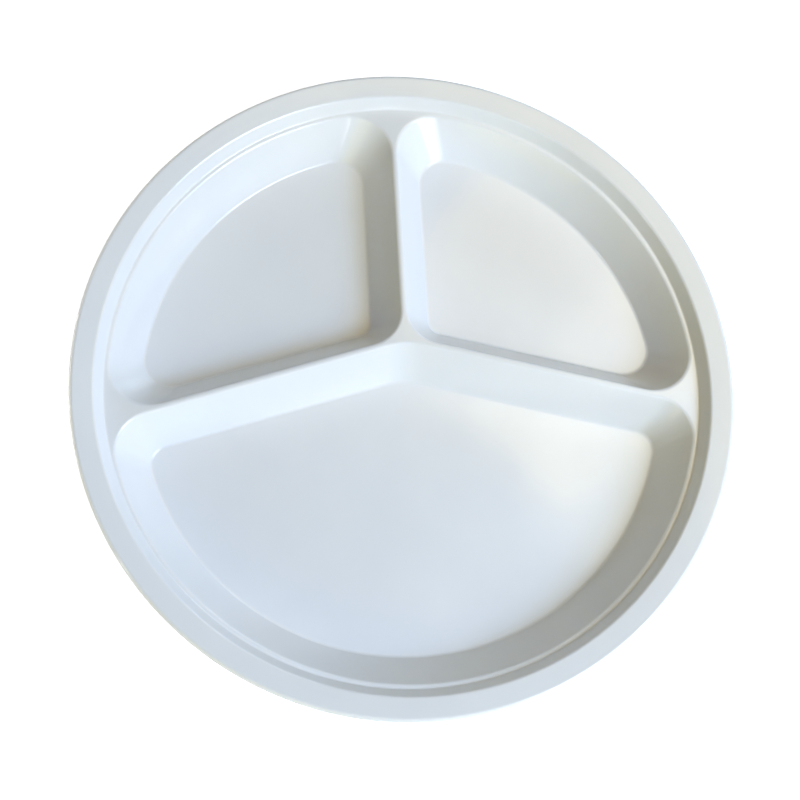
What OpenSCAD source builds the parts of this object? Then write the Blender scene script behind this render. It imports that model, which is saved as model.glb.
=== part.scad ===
// Divided compartment plate, moulded in one piece: a gently sloping rim with a turned-down lip, a step down to a
// narrow ledge, and three recessed compartments kept apart by a Y of hollow dividers, level with the ledge on top.
// Millimetres, +Z up. The origin is at the middle of the underside, and +Y runs along the upright divider.

/* [Rim] */
// Outside diameter of the plate
plate_d = 260; // [220:1:320]
// Width of the rim, from the outside edge in to the top of the step
rim_w = 9.2; // [8:0.2:16]
// Rise of the rim's top from the step out to the plate's edge, as it slopes gently inward
rim_rise = 1.8; // [0:0.1:2.5]
// Radius of the rim's rounded outside edge
lip_r = 1.5; // [0.8:0.1:2]
// Height of the lip, from the rim's outside edge down to its free edge
lip_h = 4.6; // [4:0.1:8]

/* [Step and ledge] */
// Drop from the rim down to the ledge
step_h = 5.6; // [4.6:0.1:9]
// Width that the sloping step covers, seen from above
step_w = 2.9; // [2:0.1:5]
// Rounding where the rim turns down into the step
step_round = 1.6; // [0.8:0.1:2]
// Fillet where the step meets the ledge
step_fillet = 0.9; // [0.4:0.1:1.4]
// Width of the ledge between the step and the compartments
ledge_w = 1.6; // [1.2:0.1:6]

/* [Compartments] */
// Depth of the compartments below the ledge
depth = 17.2; // [12:0.1:26]
// Width that each sloping wall covers, seen from above
wall_run = 10.9; // [7:0.1:14]
// The same for an upper compartment's wall along a side divider, which is steeper
arm_run = 9.6; // [7:0.1:12]
// Fillet between the walls and the floor
floor_fillet = 1.6; // [1:0.1:5]
// Rounding along the compartments' top edges
edge_round = 1.6; // [0.6:0.1:1.8]
// Thickness of the moulded shell
shell_t = 2.4; // [1.8:0.1:2.6]
// Thickness under the ledge and the dividers' tops, where the walls run together
land_t = 3.4; // [3.2:0.1:4.2]

/* [Dividers] */
// Width of a divider at its top, between the two slopes
ridge_w = 2.0; // [1.2:0.1:5]
// Distance from the plate's middle up to the point where the three dividers meet
junction_y = 18; // [8:0.5:30]
// Angle by which the two side dividers fall away from level
arm_fall = 14.5; // [8:0.5:24]

/* [Corners] */
// Corner radius at the junction, along an upper compartment's top edge
inner_corner_top = 15; // [12:0.5:20]
// The same corner at the floor
inner_corner_floor = 6; // [4:0.5:9]
// Radius of an upper compartment's outer corners, along the top edge
outer_corner_top = 16; // [12:0.5:20]
// The same corners at the floor
outer_corner_floor = 11; // [8:0.5:16]
// Radius of the large compartment's side corners, along the top edge
side_corner_top = 15; // [12:0.5:20]
// The same corners at the floor
side_corner_floor = 8; // [6:0.5:14]
// Radius of the large compartment's shallow peak, along the top edge
peak_top = 26; // [16:1:40]
// The same peak at the floor
peak_floor = 30; // [16:1:50]

/* [Hidden] */

// Steps along a corner, along the round wall of an upper and of the large compartment, and along an edge
corner_steps = 8;
upper_wall_steps = 22;
large_wall_steps = 44;
edge_steps = 4;
$fn = 180;

plate_r = plate_d / 2;
step_top_r = plate_r - rim_w;
ledge_r = step_top_r - step_w;
wall_top_r = ledge_r - ledge_w;
ledge_z = shell_t + depth;
rim_z = ledge_z + step_h;
// Angles from level of the compartment walls, of the step and of the rim
wall_slope = atan(depth / wall_run);
step_slope = atan(step_h / step_w);
rim_slope = atan(rim_rise / rim_w);
// How far the cutters rise past the ledge
overrun = shell_t;
// Roundings of the lip's free edge, of the two corners under the rim, and of the one under the ledge's outside
free_edge_r = shell_t * 0.4;
under_r = shell_t * 0.2;
knee_r = shell_t * 0.8;

// Points of an arc of radius r round c, from angle a0 to angle a1
function arc(c, r, a0, a1, steps) =
    [for (i = [0:steps]) let (a = a0 + (a1 - a0) * i / steps) c + r * [cos(a), sin(a)]];

// All but the first and the last of a list, for an arc whose ends are already there
function inside(list) = [for (i = [1:len(list) - 2]) list[i]];

// The corner b of the path a, b, c, rounded to radius r
function rounded(a, b, c, r) =
    let (
        u = (a - b) / norm(a - b),
        v = (c - b) / norm(c - b),
        half = acos(u * v) / 2,
        centre = b + (u + v) / norm(u + v) * r / sin(half),
        start = b + u * r / tan(half) - centre,
        end = b + v * r / tan(half) - centre,
        a0 = atan2(start[1], start[0]),
        turn = atan2(end[1], end[0]) - a0,
        sweep = turn > 180 ? turn - 360 : turn < -180 ? turn + 360 : turn
    )
    arc(centre, r, a0, a0 + sweep, edge_steps);

// Middle of a corner of radius r that touches two straight sides. A side is its unit normal, pointing into the
// compartment, and its distance from the origin along that normal
function corner_at_sides(n1, d1, n2, d2, r) =
    let (det = n1[0] * n2[1] - n1[1] * n2[0])
    [(d1 + r) * n2[1] - (d2 + r) * n1[1], (d2 + r) * n1[0] - (d1 + r) * n2[0]] / det;

// Middle of a corner of radius r that touches one straight side and, from inside, the round wall. The wall is
// met a quarter turn to the left (1) or to the right (-1) of the side's normal
function corner_at_wall(n, d, wall_r, r, way) =
    let (h = d + r, k = sqrt(pow(wall_r - r, 2) - h * h))
    [n[0] * h - way * n[1] * k, n[1] * h + way * n[0] * k];

function direction(p) = atan2(p[1], p[0]);

// A corner's radius part of the way down the wall
function corner_r(top, floor, inset) = top + (floor - top) * inset / wall_run;

// Outline of the upper right compartment, all its sides moved in by inset and then out by grow
function upper_outline(inset, grow) =
    let (
        half = ridge_w / 2 + inset - grow,
        arm_half = ridge_w / 2 + inset * arm_run / wall_run - grow,
        wall_r = wall_top_r - inset + grow,
        inner_r = corner_r(inner_corner_top, inner_corner_floor, inset) + grow,
        outer_r = corner_r(outer_corner_top, outer_corner_floor, inset) + grow,
        upright = [1, 0],
        arm = [sin(arm_fall), cos(arm_fall)],
        arm_d = junction_y * cos(arm_fall) + arm_half,
        inner_c = corner_at_sides(upright, half, arm, arm_d, inner_r),
        low_c = corner_at_wall(arm, arm_d, wall_r, outer_r, -1),
        high_c = corner_at_wall(upright, half, wall_r, outer_r, 1)
    )
    concat(
        arc(low_c, outer_r, -90 - arm_fall, direction(low_c), corner_steps),
        inside(arc([0, 0], wall_r, direction(low_c), direction(high_c), upper_wall_steps)),
        arc(high_c, outer_r, direction(high_c), 180, corner_steps),
        arc(inner_c, inner_r, 180, 270 - arm_fall, corner_steps)
    );

// Outline of the large compartment
function large_outline(inset, grow) =
    let (
        half = ridge_w / 2 + inset - grow,
        wall_r = wall_top_r - inset + grow,
        side_r = corner_r(side_corner_top, side_corner_floor, inset) + grow,
        peak_r = corner_r(peak_top, peak_floor, inset) + grow,
        arm = [-sin(arm_fall), -cos(arm_fall)],
        side_c = corner_at_wall(arm, half - junction_y * cos(arm_fall), wall_r, side_r, 1),
        other_side_c = [-side_c[0], side_c[1]],
        peak_c = [0, junction_y - (peak_r + half) / cos(arm_fall)],
        side_a = direction(side_c)
    )
    concat(
        arc(peak_c, peak_r, 90 - arm_fall, 90 + arm_fall, corner_steps),
        arc(other_side_c, side_r, 90 + arm_fall, 180 - side_a, corner_steps),
        inside(arc([0, 0], wall_r, 180 - side_a, 360 + side_a, large_wall_steps)),
        arc(side_c, side_r, side_a, 90 - arm_fall, corner_steps)
    );

function outline(which, inset, grow) = which == "large" ? large_outline(inset, grow) : upper_outline(inset, grow);

// A rounding's reach from the sharp corner that it replaces
fillet_reach = floor_fillet * tan(wall_slope / 2);
edge_reach = min(edge_round * tan(wall_slope / 2), ridge_w / 2 * 0.9);
edge_r = edge_reach / tan(wall_slope / 2);

// Levels of a compartment's hollow, from the floor up, each as inset, grow and height
hollow_levels = concat(
    [for (i = [0:edge_steps]) let (a = wall_slope * i / edge_steps)
        [wall_run + fillet_reach - floor_fillet * sin(a), 0, shell_t + floor_fillet * (1 - cos(a))]],
    [for (i = [edge_steps:-1:0]) let (a = wall_slope * i / edge_steps)
        [edge_r * sin(a) - edge_reach, 0, ledge_z - edge_r * (1 - cos(a))]],
    [[-edge_reach, 0, ledge_z + overrun]]
);

// Levels of the cup outside it, one shell thickness away, up to the middle of the ledge's thickness
cup_top = ledge_z - land_t / 2;
cup_levels = concat(
    [for (i = [0:edge_steps]) let (a = wall_slope * i / edge_steps)
        [wall_run + fillet_reach - floor_fillet * sin(a), shell_t * sin(a),
         shell_t + floor_fillet - (floor_fillet + shell_t) * cos(a)]],
    [[(ledge_z - cup_top - shell_t * cos(wall_slope)) / tan(wall_slope), shell_t * sin(wall_slope), cup_top]]
);

// A closed skin through a compartment's outline at each level
module loft(which, levels) {
    rings = [for (l = levels) [for (p = outline(which, l[0], l[1])) [p[0], p[1], l[2]]]];
    n = len(rings[0]);
    last = len(rings) - 1;
    polyhedron(
        points = [for (ring = rings) each ring],
        faces = concat(
            [[for (i = [0:n - 1]) i]],
            [for (j = [0:last - 1], i = [0:n - 1])
                let (k = (i + 1) % n)
                each [[j * n + i, (j + 1) * n + i, (j + 1) * n + k], [j * n + i, (j + 1) * n + k, j * n + k]]],
            [[for (i = [n - 1:-1:0]) last * n + i]]
        )
    );
}

// Draws its child's compartment three times: the large one, and the upper one on either side
module each_compartment(levels) {
    loft("large", levels);
    loft("upper", levels);
    mirror([1, 0, 0]) loft("upper", levels);
}

// Rim, step and ledge, with a full disc across the middle that the compartments are cut through
module flange() {
    outer_z = rim_z + rim_rise;
    edge_z = outer_z - lip_h;
    inner_r = plate_r - shell_t;
    inner_z = outer_z - shell_t * tan(rim_slope) - shell_t / cos(rim_slope);
    // The corner one shell thickness away from the one where the rim meets the step
    lean = (step_slope + rim_slope) / 2;
    reach = shell_t / cos((step_slope - rim_slope) / 2);
    under_step = [step_top_r + reach * sin(lean), rim_z - reach * cos(lean)];
    land_z = ledge_z - land_t;
    under_ledge_r = ledge_r + shell_t / sin(step_slope) - land_t / tan(step_slope);
    top = [[0, ledge_z], [ledge_r, ledge_z], [step_top_r, rim_z], [plate_r, outer_z], [plate_r, edge_z]];
    bottom = [[inner_r, edge_z], [inner_r, inner_z], under_step, [under_ledge_r, land_z], [0, land_z]];
    rotate_extrude()
        polygon(concat(
            [top[0]],
            rounded(top[0], top[1], top[2], step_fillet),
            rounded(top[1], top[2], top[3], step_round),
            rounded(top[2], top[3], top[4], lip_r),
            rounded(top[3], top[4], bottom[0], free_edge_r),
            rounded(top[4], bottom[0], bottom[1], free_edge_r),
            rounded(bottom[0], bottom[1], bottom[2], under_r),
            rounded(bottom[1], bottom[2], bottom[3], under_r),
            rounded(bottom[2], bottom[3], bottom[4], knee_r),
            [bottom[4]]
        ));
}

module plate() {
    color("white")
        difference() {
            union() {
                flange();
                each_compartment(cup_levels);
            }
            each_compartment(hollow_levels);
        }
}

plate();
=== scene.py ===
"""Looks of the divided compartment plate: one glossy white moulded shell on a plain pale floor."""

import math

import bmesh
import bpy
from mathutils import Matrix, Vector
from mathutils.geometry import delaunay_2d_cdt


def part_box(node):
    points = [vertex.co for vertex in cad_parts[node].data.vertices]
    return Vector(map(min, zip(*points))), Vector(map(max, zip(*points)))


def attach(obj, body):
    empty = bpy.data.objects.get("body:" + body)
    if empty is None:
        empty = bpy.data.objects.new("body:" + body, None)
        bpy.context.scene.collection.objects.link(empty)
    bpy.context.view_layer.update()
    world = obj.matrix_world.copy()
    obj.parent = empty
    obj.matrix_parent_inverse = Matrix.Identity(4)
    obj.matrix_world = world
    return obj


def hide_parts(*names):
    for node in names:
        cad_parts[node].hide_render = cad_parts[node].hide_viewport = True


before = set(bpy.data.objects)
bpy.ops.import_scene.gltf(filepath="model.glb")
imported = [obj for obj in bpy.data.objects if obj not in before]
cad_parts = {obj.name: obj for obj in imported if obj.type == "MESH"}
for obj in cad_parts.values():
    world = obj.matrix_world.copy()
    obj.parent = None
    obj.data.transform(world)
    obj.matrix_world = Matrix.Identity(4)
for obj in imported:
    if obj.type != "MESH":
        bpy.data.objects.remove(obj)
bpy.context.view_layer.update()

MM = 0.001

# The plate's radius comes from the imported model, and the rest are its named sizes
plate_low, plate_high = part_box("plate")
PLATE_R = (plate_high.x - plate_low.x) / 2
RIM_W = 9.2 * MM
RIM_RISE = 1.8 * MM
LIP_R = 1.5 * MM
LIP_H = 4.6 * MM
STEP_H = 5.6 * MM
STEP_W = 2.9 * MM
STEP_ROUND = 1.6 * MM
STEP_FILLET = 0.9 * MM
LEDGE_W = 1.6 * MM
DEPTH = 17.2 * MM
WALL_RUN = 10.9 * MM
ARM_RUN = 9.6 * MM
FLOOR_FILLET = 1.6 * MM
EDGE_ROUND = 1.6 * MM
SHELL_T = 2.4 * MM
LAND_T = 3.4 * MM
RIDGE_W = 2.0 * MM
JUNCTION_Y = 18 * MM
ARM_FALL = 14.5

# Corner radii at a compartment's top edge and at its floor
INNER_CORNER = (15 * MM, 6 * MM)
OUTER_CORNER = (16 * MM, 11 * MM)
SIDE_CORNER = (15 * MM, 8 * MM)
PEAK = (26 * MM, 30 * MM)

# Small roundings of the lip and of the hollow underside
FREE_EDGE_ROUND = SHELL_T * 0.4
UNDER_ROUND = SHELL_T * 0.2
KNEE_ROUND = SHELL_T * 0.8
ROOT_ROUND = 0.4 * MM

STEP_TOP_R = PLATE_R - RIM_W
LEDGE_R = STEP_TOP_R - STEP_W
WALL_TOP_R = LEDGE_R - LEDGE_W
LEDGE_Z = SHELL_T + DEPTH
RIM_Z = LEDGE_Z + STEP_H
LAND_Z = LEDGE_Z - LAND_T
WALL_SLOPE = math.atan(DEPTH / WALL_RUN)
STEP_SLOPE = math.atan(STEP_H / STEP_W)
RIM_SLOPE = math.atan(RIM_RISE / RIM_W)

# Fineness of the mesh
ROUND_STEPS = 256
CORNER_STEPS = 14
UPPER_WALL_STEPS = 48
LARGE_WALL_STEPS = 110
EDGE_STEPS = 7
FLOOR_RINGS = 9
WALL_RINGS = 4
MERGE_GAP = 0.002 * MM
SAME_POINT_GAP = 1e-9

# A rounding between a level face and a wall turns through these angles
SLOPE_TURNS = [WALL_SLOPE * i / EDGE_STEPS for i in range(EDGE_STEPS + 1)]

# Noise patterns, each as scale, detail and roughness, and the span where most of their values lie
TONE_NOISE = (22, 3, 0.5)
GLOSS_NOISE = (160, 4, 0.6)
SAG_NOISE = (26, 1, 0.3)
GRAIN_NOISE = (900, 2, 0.5)
FLOOR_NOISE = (4, 2, 0.5)
NOISE_SPAN = (0.3, 0.7)

# The plate's plastic: its tones, the range of its roughness, and how deep its waves and its grain are
PLASTIC_TONES = ((0.79, 0.80, 0.82, 1), (0.83, 0.835, 0.845, 1))
ROUGHNESS = (0.08, 0.15)
PLASTIC_IOR = 1.5
SAG = 0.25 * MM
GRAIN = 0.004 * MM

# The floor's tones and size in metres, what it adds where it is seen, and the room's even light
FLOOR_TONES = ((0.90, 0.90, 0.90, 1), (0.93, 0.93, 0.93, 1))
FLOOR_SIZE = 6.0
FLOOR_CELLS = 12
GLOW_COLOUR = (0.93, 0.95, 1.0, 1)
GLOW = 0.86
AMBIENT = 0.02
WHITE = (1.0, 1.0, 1.0, 1)

# Soft lamps turned to the plate's middle. Each has a name, its bearing from +X and its rise in degrees, its
# distance, width and height in metres, its watts and its colour
LAMPS = (
    ("window", -31, 46, 1.4, 0.22, 0.8, 3.9, (0.93, 0.95, 1.0)),
    ("next_window", -49, 46, 1.4, 0.22, 0.8, 2.0, (0.93, 0.95, 1.0)),
    ("window_low", -65, 11, 1.4, 1.1, 0.13, 2.9, (0.90, 0.97, 1.0)),
    ("sky_left", -45, 50, 1.4, 0.3, 0.3, 4.7, (0.59, 0.79, 1.0)),
    ("sky_right", -20, 50, 1.4, 0.35, 0.35, 2.5, (0.60, 0.81, 1.0)),
    ("sky_below", -30, 40, 1.4, 0.35, 0.35, 3.7, (0.0, 0.31, 1.0)),
    ("back", 60, 18, 1.4, 0.5, 0.5, 3.5, (0.58, 0.79, 1.0)),
    ("ceiling", 30, 66, 1.4, 0.35, 0.35, 0.78, (1.0, 0.91, 0.66)),
    ("room", -120, 18, 1.4, 0.9, 0.9, 4.2, (0.86, 0.73, 0.08)),
    ("left", -157, 30, 1.4, 0.06, 0.7, 1.1, (1.0, 0.98, 0.91)),
    ("low_left", 168, 0.9, 0.9, 0.5, 0.02, 3.8, (1.0, 0.98, 0.97)),
    ("near_front", -45, 35, 0.55, 0.25, 0.25, 0.75, (0.88, 0.95, 1.0)),
    ("near_side", 45, 60, 0.55, 0.25, 0.25, 0.4, (1.0, 0.66, 0.0)),
)

# The photograph's view: the camera's place and aim from the rim's middle in plate radii, its turn in degrees,
# its lens and sensor in millimetres, and how near and far it sees in metres
CAMERA_PLACE = (-0.479, -0.992, 3.561)
CAMERA_AIM = (-0.035, -0.067, 0)
CAMERA_ROLL = 23.15
LENS = 56.0
SENSOR_W = 36.0
NEAREST = 0.01
FARTHEST = 50


def arc(centre, r, a0, a1, steps):
    """Points of an arc from angle a0 to angle a1, in degrees."""
    angles = [math.radians(a0 + (a1 - a0) * i / steps) for i in range(steps + 1)]
    return [(centre[0] + r * math.cos(a), centre[1] + r * math.sin(a)) for a in angles]


def direction(p):
    return math.degrees(math.atan2(p[1], p[0]))


def rounded(a, b, c, r):
    """The corner b of the path a, b, c, rounded to radius r."""
    a, b, c = Vector(a), Vector(b), Vector(c)
    u, v = (a - b).normalized(), (c - b).normalized()
    half = u.angle(v) / 2
    centre = b + (u + v).normalized() * r / math.sin(half)
    start = direction(b + u * r / math.tan(half) - centre)
    turn = direction(b + v * r / math.tan(half) - centre) - start
    turn = (turn + 180) % 360 - 180
    return arc(centre, r, start, start + turn, EDGE_STEPS)


def corner_at_sides(n1, d1, n2, d2, r):
    """Middle of a corner of radius r at two straight sides, each given by its unit normal and distance."""
    det = n1[0] * n2[1] - n1[1] * n2[0]
    x = ((d1 + r) * n2[1] - (d2 + r) * n1[1]) / det
    y = ((d2 + r) * n1[0] - (d1 + r) * n2[0]) / det
    return x, y


def corner_at_wall(n, d, wall_r, r, way):
    """Middle of a corner of radius r that touches a straight side and, from inside, the round wall."""
    h = d + r
    k = math.sqrt((wall_r - r) ** 2 - h * h)
    return n[0] * h - way * n[1] * k, n[1] * h + way * n[0] * k


def corner_r(radii, inset):
    return radii[0] + (radii[1] - radii[0]) * inset / WALL_RUN


def upper_outline(inset, grow):
    """Outline of the upper right compartment, its sides moved in by inset and then out by grow."""
    half = RIDGE_W / 2 + inset - grow
    arm_half = RIDGE_W / 2 + inset * ARM_RUN / WALL_RUN - grow
    wall_r = WALL_TOP_R - inset + grow
    inner_r = corner_r(INNER_CORNER, inset) + grow
    outer_r = corner_r(OUTER_CORNER, inset) + grow
    fall = math.radians(ARM_FALL)
    upright, arm = (1, 0), (math.sin(fall), math.cos(fall))
    arm_d = JUNCTION_Y * math.cos(fall) + arm_half
    inner_c = corner_at_sides(upright, half, arm, arm_d, inner_r)
    low_c = corner_at_wall(arm, arm_d, wall_r, outer_r, -1)
    high_c = corner_at_wall(upright, half, wall_r, outer_r, 1)
    low_a, high_a = direction(low_c), direction(high_c)
    return (
        arc(low_c, outer_r, -90 - ARM_FALL, low_a, CORNER_STEPS)
        + arc((0, 0), wall_r, low_a, high_a, UPPER_WALL_STEPS)[1:-1]
        + arc(high_c, outer_r, high_a, 180, CORNER_STEPS)
        + arc(inner_c, inner_r, 180, 270 - ARM_FALL, CORNER_STEPS)
    )


def upper_left_outline(inset, grow):
    return [(-x, y) for x, y in reversed(upper_outline(inset, grow))]


def large_outline(inset, grow):
    """Outline of the large compartment."""
    half = RIDGE_W / 2 + inset - grow
    wall_r = WALL_TOP_R - inset + grow
    side_r = corner_r(SIDE_CORNER, inset) + grow
    peak_r = corner_r(PEAK, inset) + grow
    fall = math.radians(ARM_FALL)
    arm = (-math.sin(fall), -math.cos(fall))
    side_c = corner_at_wall(arm, half - JUNCTION_Y * math.cos(fall), wall_r, side_r, 1)
    peak_c = (0, JUNCTION_Y - (peak_r + half) / math.cos(fall))
    side_a = direction(side_c)
    return (
        arc(peak_c, peak_r, 90 - ARM_FALL, 90 + ARM_FALL, CORNER_STEPS)
        + arc((-side_c[0], side_c[1]), side_r, 90 + ARM_FALL, 180 - side_a, CORNER_STEPS)
        + arc((0, 0), wall_r, 180 - side_a, 360 + side_a, LARGE_WALL_STEPS)[1:-1]
        + arc(side_c, side_r, side_a, 90 - ARM_FALL, CORNER_STEPS)
    )


OUTLINES = (large_outline, upper_outline, upper_left_outline)


def between(start, end):
    """The levels part of the way from start to end."""
    shares = [i / WALL_RINGS for i in range(1, WALL_RINGS)]
    return [tuple(a + (b - a) * s for a, b in zip(start, end)) for s in shares]


def hollow_levels():
    """Levels of a compartment's inner skin from the floor up, each as inset, grow and height."""
    reach = FLOOR_FILLET * math.tan(WALL_SLOPE / 2)
    edge_reach = EDGE_ROUND * math.tan(WALL_SLOPE / 2)
    fillet = [
        (WALL_RUN + reach - FLOOR_FILLET * math.sin(a), 0, SHELL_T + FLOOR_FILLET * (1 - math.cos(a)))
        for a in SLOPE_TURNS
    ]
    edge = [
        (EDGE_ROUND * math.sin(a) - edge_reach, 0, LEDGE_Z - EDGE_ROUND * (1 - math.cos(a)))
        for a in reversed(SLOPE_TURNS)
    ]
    return fillet + between(fillet[-1], edge[0]) + edge


def cup_levels():
    """Levels of the outer skin, one shell thickness away, from the underside up to the land."""
    reach = FLOOR_FILLET * math.tan(WALL_SLOPE / 2)
    fillet = [
        (
            WALL_RUN + reach - FLOOR_FILLET * math.sin(a),
            SHELL_T * math.sin(a),
            SHELL_T + FLOOR_FILLET - (FLOOR_FILLET + SHELL_T) * math.cos(a),
        )
        for a in SLOPE_TURNS
    ]
    root_inset = (LAND_T - SHELL_T * math.cos(WALL_SLOPE)) / math.tan(WALL_SLOPE)
    root_grow = SHELL_T * math.sin(WALL_SLOPE) + ROOT_ROUND * math.tan(WALL_SLOPE / 2)
    root = [
        (root_inset, root_grow - ROOT_ROUND * math.sin(a), LAND_Z - ROOT_ROUND * (1 - math.cos(a)))
        for a in reversed(SLOPE_TURNS)
    ]
    return fillet + between(fillet[-1], root[0]) + root


def floor_rings(edge):
    """Rings from near a floor's middle out to its edge, which is left out, and the middle itself."""
    middle = Vector([sum(c) / len(edge) for c in zip(*edge)])
    shares = [(i + 1) / (FLOOR_RINGS + 1) for i in range(FLOOR_RINGS)]
    return [[tuple(middle.lerp(Vector(p), s)) for p in edge] for s in shares], tuple(middle)


def add_rings(bm, rings):
    """Faces between closed rings of equal length. Returns the rings' vertices."""
    rows = [[bm.verts.new(p) for p in ring] for ring in rings]
    for low, high in zip(rows, rows[1:]):
        for i in range(len(low)):
            bm.faces.new([low[i - 1], low[i], high[i], high[i - 1]])
    return rows


def add_compartment(bm, outline, levels):
    """A floor and its walls, as one skin. Returns the skin's top edge, seen from above."""
    rings = [[(x, y, z) for x, y in outline(inset, grow)] for inset, grow, z in levels]
    inner, middle = floor_rings(rings[0])
    first = add_rings(bm, inner + rings)[0]
    hub = bm.verts.new(middle)
    for i in range(len(first)):
        bm.faces.new([first[i], first[i - 1], hub])
    return [p[:2] for p in rings[-1]]


def inside(poly, x, y):
    """Whether a point is inside a convex outline that runs anticlockwise."""
    sides = zip(poly, poly[1:] + poly[:1])
    return all((b[0] - a[0]) * (y - a[1]) - (b[1] - a[1]) * (x - a[0]) > 0 for a, b in sides)


def add_land(bm, circle_r, holes, z):
    """The level land between a circle and the compartments' outlines."""
    circle = arc((0, 0), circle_r, 0, 360, ROUND_STEPS)[:-1]
    loops = [circle] + holes
    points = [Vector(p) for loop in loops for p in loop]
    edges = []
    for loop in loops:
        start = len(edges)
        edges += [(start + i, start + (i + 1) % len(loop)) for i in range(len(loop))]
    flat, _, faces, *_ = delaunay_2d_cdt(points, edges, [], 0, SAME_POINT_GAP)
    verts = [bm.verts.new((p.x, p.y, z)) for p in flat]
    for face in faces:
        x, y = (sum(flat[i][axis] for i in face) / len(face) for axis in (0, 1))
        if inside(circle, x, y) and not any(inside(hole, x, y) for hole in holes):
            bm.faces.new([verts[i] for i in face])


def rim_profile():
    """Radius and height of the turned part: up the step, over the rim and lip, and back to the land."""
    outer_z = RIM_Z + RIM_RISE
    edge_z = outer_z - LIP_H
    inner_r = PLATE_R - SHELL_T
    inner_z = outer_z - SHELL_T * math.tan(RIM_SLOPE) - SHELL_T / math.cos(RIM_SLOPE)
    lean = (STEP_SLOPE + RIM_SLOPE) / 2
    reach = SHELL_T / math.cos((STEP_SLOPE - RIM_SLOPE) / 2)
    knee_r = LEDGE_R - LAND_T / math.tan(STEP_SLOPE) + SHELL_T / math.sin(STEP_SLOPE)
    path = [
        (0, LEDGE_Z),
        (LEDGE_R, LEDGE_Z),
        (STEP_TOP_R, RIM_Z),
        (PLATE_R, outer_z),
        (PLATE_R, edge_z),
        (inner_r, edge_z),
        (inner_r, inner_z),
        (STEP_TOP_R + reach * math.sin(lean), RIM_Z - reach * math.cos(lean)),
        (knee_r, LAND_Z),
        (0, LAND_Z),
    ]
    radii = [
        STEP_FILLET,
        STEP_ROUND,
        LIP_R,
        FREE_EDGE_ROUND,
        FREE_EDGE_ROUND,
        UNDER_ROUND,
        UNDER_ROUND,
        KNEE_ROUND,
    ]
    points = []
    for a, b, c, r in zip(path, path[1:], path[2:], radii):
        points += rounded(a, b, c, r)
    return points


def put_in_scene(name, data):
    thing = bpy.data.objects.new(name, data)
    bpy.context.scene.collection.objects.link(thing)
    return thing


def make_shell():
    """The whole plate as one closed mesh."""
    bm = bmesh.new()
    profile = rim_profile()
    turns = [math.tau * i / ROUND_STEPS for i in range(ROUND_STEPS)]
    add_rings(bm, [[(r * math.cos(t), r * math.sin(t), z) for t in turns] for r, z in profile])
    hollows = [add_compartment(bm, outline, hollow_levels()) for outline in OUTLINES]
    add_land(bm, profile[0][0], hollows, LEDGE_Z)
    cups = [add_compartment(bm, outline, cup_levels()) for outline in OUTLINES]
    add_land(bm, profile[-1][0], cups, LAND_Z)
    bmesh.ops.remove_doubles(bm, verts=bm.verts, dist=MERGE_GAP)
    bmesh.ops.recalc_face_normals(bm, faces=bm.faces)
    mesh = bpy.data.meshes.new("plate_shell")
    bm.to_mesh(mesh)
    bm.free()
    mesh.shade_smooth()
    mesh.materials.append(gloss_plastic())
    shell = put_in_scene("plate_shell", mesh)
    weighted = shell.modifiers.new("flat_faces_stay_flat", "WEIGHTED_NORMAL")
    weighted.keep_sharp = True
    return shell


class Nodes:
    """Short calls for a material's or the world's nodes."""

    def __init__(self, owner):
        owner.use_nodes = True
        self.tree = owner.node_tree
        self.tree.nodes.clear()

    def add(self, kind, **settings):
        node = self.tree.nodes.new(kind)
        for name, value in settings.items():
            setattr(node, name, value)
        return node

    def link(self, source, target):
        self.tree.links.new(source, target)


def noise(nodes, coords, pattern):
    texture = nodes.add("ShaderNodeTexNoise")
    nodes.link(coords, texture.inputs["Vector"])
    for name, value in zip(("Scale", "Detail", "Roughness"), pattern):
        texture.inputs[name].default_value = value
    return texture.outputs["Fac"]


def ramp(nodes, source, low, high):
    """Maps the span of a noise pattern onto low to high, as a number."""
    mapped = nodes.add("ShaderNodeMapRange")
    nodes.link(source, mapped.inputs["Value"])
    for name, value in zip(("From Min", "From Max", "To Min", "To Max"), (*NOISE_SPAN, low, high)):
        mapped.inputs[name].default_value = value
    return mapped.outputs["Result"]


def blend(nodes, factor, colours):
    """A colour between two, by a factor from 0 to 1."""
    mixed = nodes.add("ShaderNodeMix", data_type="RGBA")
    nodes.link(factor, mixed.inputs["Factor"])
    mixed.inputs["A"].default_value, mixed.inputs["B"].default_value = colours
    return mixed.outputs["Result"]


def bump(nodes, height, depth):
    node = nodes.add("ShaderNodeBump")
    node.inputs["Distance"].default_value = depth
    nodes.link(height, node.inputs["Height"])
    return node


def gloss_plastic():
    """White moulded plastic: faintly uneven in tone, wavy and finely marked in its gloss."""
    material = bpy.data.materials.new("gloss_white_plastic")
    nodes = Nodes(material)
    coords = nodes.add("ShaderNodeTexCoord").outputs["Object"]
    tone = blend(nodes, ramp(nodes, noise(nodes, coords, TONE_NOISE), 0, 1), PLASTIC_TONES)
    roughness = ramp(nodes, noise(nodes, coords, GLOSS_NOISE), *ROUGHNESS)
    sag = bump(nodes, noise(nodes, coords, SAG_NOISE), SAG)
    grain = bump(nodes, noise(nodes, coords, GRAIN_NOISE), GRAIN)
    nodes.link(sag.outputs["Normal"], grain.inputs["Normal"])
    shader = nodes.add("ShaderNodeBsdfPrincipled")
    shader.inputs["IOR"].default_value = PLASTIC_IOR
    nodes.link(tone, shader.inputs["Base Color"])
    nodes.link(roughness, shader.inputs["Roughness"])
    nodes.link(grain.outputs["Normal"], shader.inputs["Normal"])
    output = nodes.add("ShaderNodeOutputMaterial")
    nodes.link(shader.outputs["BSDF"], output.inputs["Surface"])
    return material


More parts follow.
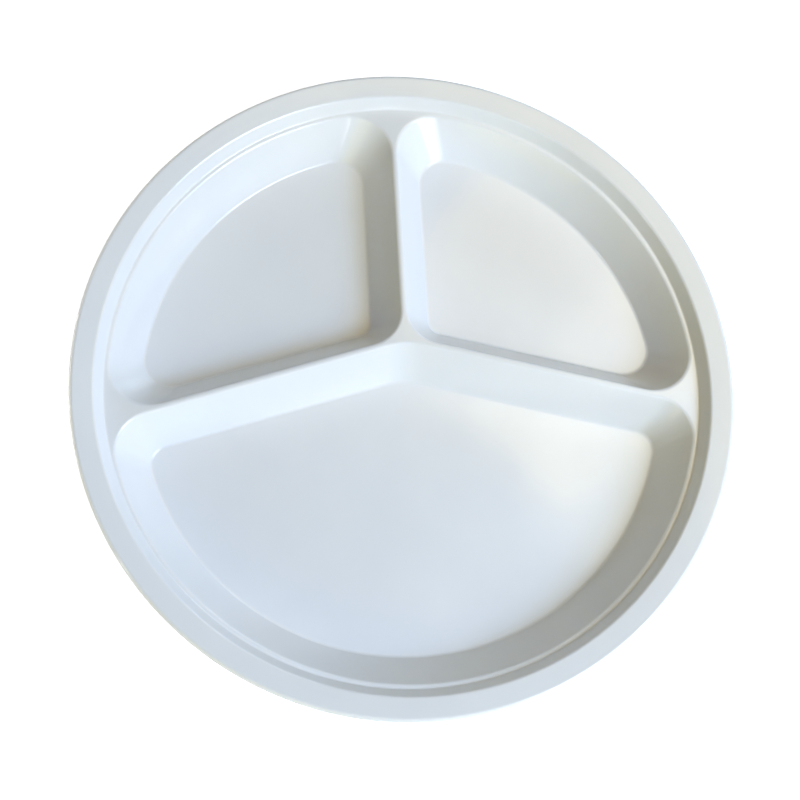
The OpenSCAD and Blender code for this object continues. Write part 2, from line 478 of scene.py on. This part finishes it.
def seen_directly(nodes):
    """1 where a camera, mirror or glass ray looks, 0 where light is only gathered."""
    path = nodes.add("ShaderNodeLightPath")
    seen = path.outputs["Is Camera Ray"]
    for name in ("Is Glossy Ray", "Is Transmission Ray"):
        both = nodes.add("ShaderNodeMath", operation="MAXIMUM")
        nodes.link(seen, both.inputs[0])
        nodes.link(path.outputs[name], both.inputs[1])
        seen = both.outputs["Value"]
    return seen


def floor_material():
    """Pale matt floor that keeps the plate's shadow and shows as white."""
    material = bpy.data.materials.new("pale_floor")
    nodes = Nodes(material)
    coords = nodes.add("ShaderNodeTexCoord").outputs["Object"]
    matt = nodes.add("ShaderNodeBsdfDiffuse")
    nodes.link(blend(nodes, noise(nodes, coords, FLOOR_NOISE), FLOOR_TONES), matt.inputs["Color"])
    strength = nodes.add("ShaderNodeMath", operation="MULTIPLY")
    nodes.link(seen_directly(nodes), strength.inputs[0])
    strength.inputs[1].default_value = GLOW
    glow = nodes.add("ShaderNodeEmission")
    glow.inputs["Color"].default_value = GLOW_COLOUR
    nodes.link(strength.outputs["Value"], glow.inputs["Strength"])
    both = nodes.add("ShaderNodeAddShader")
    nodes.link(matt.outputs["BSDF"], both.inputs[0])
    nodes.link(glow.outputs["Emission"], both.inputs[1])
    output = nodes.add("ShaderNodeOutputMaterial")
    nodes.link(both.outputs["Shader"], output.inputs["Surface"])
    return material


def make_floor():
    bm = bmesh.new()
    bmesh.ops.create_grid(bm, x_segments=FLOOR_CELLS, y_segments=FLOOR_CELLS, size=FLOOR_SIZE / 2)
    mesh = bpy.data.meshes.new("floor")
    bm.to_mesh(mesh)
    bm.free()
    mesh.materials.append(floor_material())
    return put_in_scene("floor", mesh)


def even_light(nodes, strength):
    light = nodes.add("ShaderNodeBackground")
    light.inputs["Color"].default_value = WHITE
    light.inputs["Strength"].default_value = strength
    return light.outputs["Background"]


def make_world():
    """A dim room for the light that is gathered, and white where a camera or a reflection looks at it."""
    world = bpy.data.worlds.new("studio")
    bpy.context.scene.world = world
    nodes = Nodes(world)
    mixed = nodes.add("ShaderNodeMixShader")
    nodes.link(seen_directly(nodes), mixed.inputs["Fac"])
    nodes.link(even_light(nodes, AMBIENT), mixed.inputs[1])
    nodes.link(even_light(nodes, 1), mixed.inputs[2])
    output = nodes.add("ShaderNodeOutputWorld")
    nodes.link(mixed.outputs["Shader"], output.inputs["Surface"])


def soft_lamp(name, bearing, rise, distance, width, height, watts, colour):
    """A lamp turned to the plate's middle, from a row of LAMPS."""
    lamp = bpy.data.lights.new(name, "AREA")
    lamp.shape = "RECTANGLE"
    lamp.size = width
    lamp.size_y = height
    lamp.energy = watts
    lamp.color = colour
    light = put_in_scene(name, lamp)
    level = math.cos(math.radians(rise))
    along, across = math.cos(math.radians(bearing)), math.sin(math.radians(bearing))
    out = Vector((level * along, level * across, math.sin(math.radians(rise))))
    light.location = out * distance
    light.rotation_euler = (-out).to_track_quat("-Z", "Y").to_euler()


def make_camera():
    camera = bpy.data.cameras.new("camera")
    camera.lens = LENS
    camera.sensor_width = SENSOR_W
    camera.clip_start, camera.clip_end = NEAREST, FARTHEST
    rim_middle = Vector((0, 0, RIM_Z))
    eye = Vector(CAMERA_PLACE) * PLATE_R + rim_middle
    aim = Vector(CAMERA_AIM) * PLATE_R + rim_middle
    look = (aim - eye).to_track_quat("-Z", "Y").to_matrix().to_4x4()
    roll = Matrix.Rotation(math.radians(CAMERA_ROLL), 4, "Z")
    seat = put_in_scene("camera", camera)
    seat.matrix_world = Matrix.Translation(eye) @ look @ roll
    bpy.context.scene.camera = seat


make_camera()
shell = make_shell()
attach(shell, "root")
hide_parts("plate")
make_floor()
make_world()
for lamp in LAMPS:
    soft_lamp(*lamp)
bpy.context.scene.view_settings.view_transform = "Standard"
